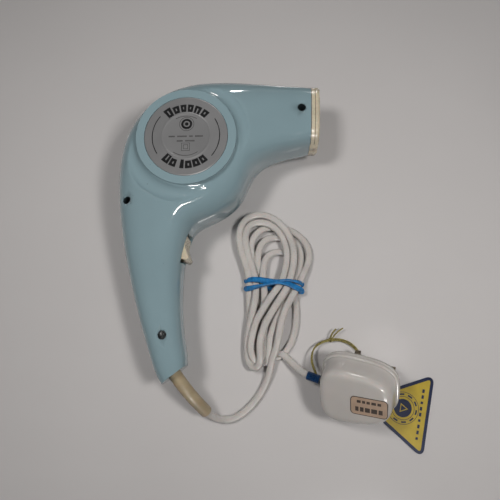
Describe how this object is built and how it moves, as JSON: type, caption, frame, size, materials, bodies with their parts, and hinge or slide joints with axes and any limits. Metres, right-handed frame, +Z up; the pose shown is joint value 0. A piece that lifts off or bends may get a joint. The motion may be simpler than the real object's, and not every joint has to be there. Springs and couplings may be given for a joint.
{
  "type": "hair dryer",
  "caption": "Hand-held mains hair dryer with a drum body, side nozzle, raised round badge disc, rocker switch, and tied flex with plug.",
  "frame": {"origin": "on the surface that the dryer lies on, under the middle of the housing's box", "axes": "+X towards the air outlet, +Y from the handle's end towards the drum, +Z up from the surface, along the fan's axis"},
  "size_m": [0.2368, 0.2774, 0.0695],
  "materials": {
    "shell_blue": "glossy moulded urea plastic, pale blue",
    "cream_plastic": "glossy cream plastic, slightly yellowed",
    "badge_aluminium": "satin aluminium",
    "steel": "plated steel",
    "zinc": "die-cast zinc",
    "bronze": "sintered bronze",
    "copper": "enamelled copper",
    "brass": "brass, slightly tarnished",
    "black_plastic": "black phenolic",
    "mica": "mica board",
    "resistance_wire": "nickel-chrome wire",
    "ceramic": "fuse ceramic",
    "sleeve_tan": "yellowed soft plastic",
    "flex_white": "warm white PVC flex",
    "wire_brown": "brown PVC",
    "wire_blue": "blue PVC",
    "band_blue": "blue rubber",
    "tape_navy": "navy tape",
    "plug_white": "glossy white urea plastic",
    "label_paper": "printed paper",
    "tag_card": "printed card, yellow",
    "string_olive": "twisted thread"
  },
  "bodies": {
    "housing": {"badge_side_shell": "shell_blue", "intake_side_shell": "shell_blue", "badge_plate": "badge_aluminium", "intake_grille": "cream_plastic", "outlet_ring": "cream_plastic", "housing_screws": "steel", "motor_laminations": "steel", "motor_coil": "copper", "shading_rings": "copper", "motor_bracket_fan_end": "zinc", "motor_bracket_badge_end": "zinc", "bearing_bush_fan_end": "bronze", "bearing_bush_badge_end": "bronze", "motor_spacers": "steel", "motor_clamp_screws": "steel", "motor_mount_screws": "steel", "heater_liner": "mica", "mica_board_flat": "mica", "mica_board_upright": "mica", "heating_coil": "resistance_wire", "thermal_cutout": "steel", "switch_body": "black_plastic", "switch_pivot_pin": "steel", "switch_terminals": "brass", "cord_sleeve": "sleeve_tan", "flex_in_handle": "flex_white", "flex_in_plug": "flex_white", "cord_clamp": "black_plastic", "clamp_screws": "steel", "wire_flex_to_switch": "wire_brown", "wire_switch_to_heater": "wire_blue", "wire_switch_to_motor": "wire_blue", "cord_lead": "flex_white", "cord_hank": "flex_white", "cord_tail": "flex_white", "cord_band": "band_blue", "marker_tape": "tape_navy", "plug_base": "plug_white", "plug_cover": "plug_white", "plug_cover_screw": "steel", "plug_earth_pin": "brass", "plug_live_pin": "brass", "plug_neutral_pin": "brass", "plug_fuse": "ceramic", "plug_fuse_clips": "brass", "plug_cord_grip": "black_plastic", "plug_label": "label_paper", "swing_tag": "tag_card", "tag_string": "string_olive"},
    "fan_rotor": {"fan_impeller": "black_plastic", "motor_shaft": "steel", "rotor_core": "steel", "impeller_clip": "steel"},
    "rocker": {"switch_rocker": "cream_plastic"}
  },
  "joints": [
    {"name": "fan_spin", "type": "hinge", "parent": "housing", "child": "fan_rotor", "pos_m": [-0.0221, 0.0588, 0.036], "axis": [0, 0, 1], "continuous": true},
    {"name": "switch_rock", "type": "hinge", "parent": "housing", "child": "rocker", "pos_m": [-0.0336, -0.0159, 0.0345], "axis": [0, 0, 1], "range_deg": [-14, 0]}
  ]
}
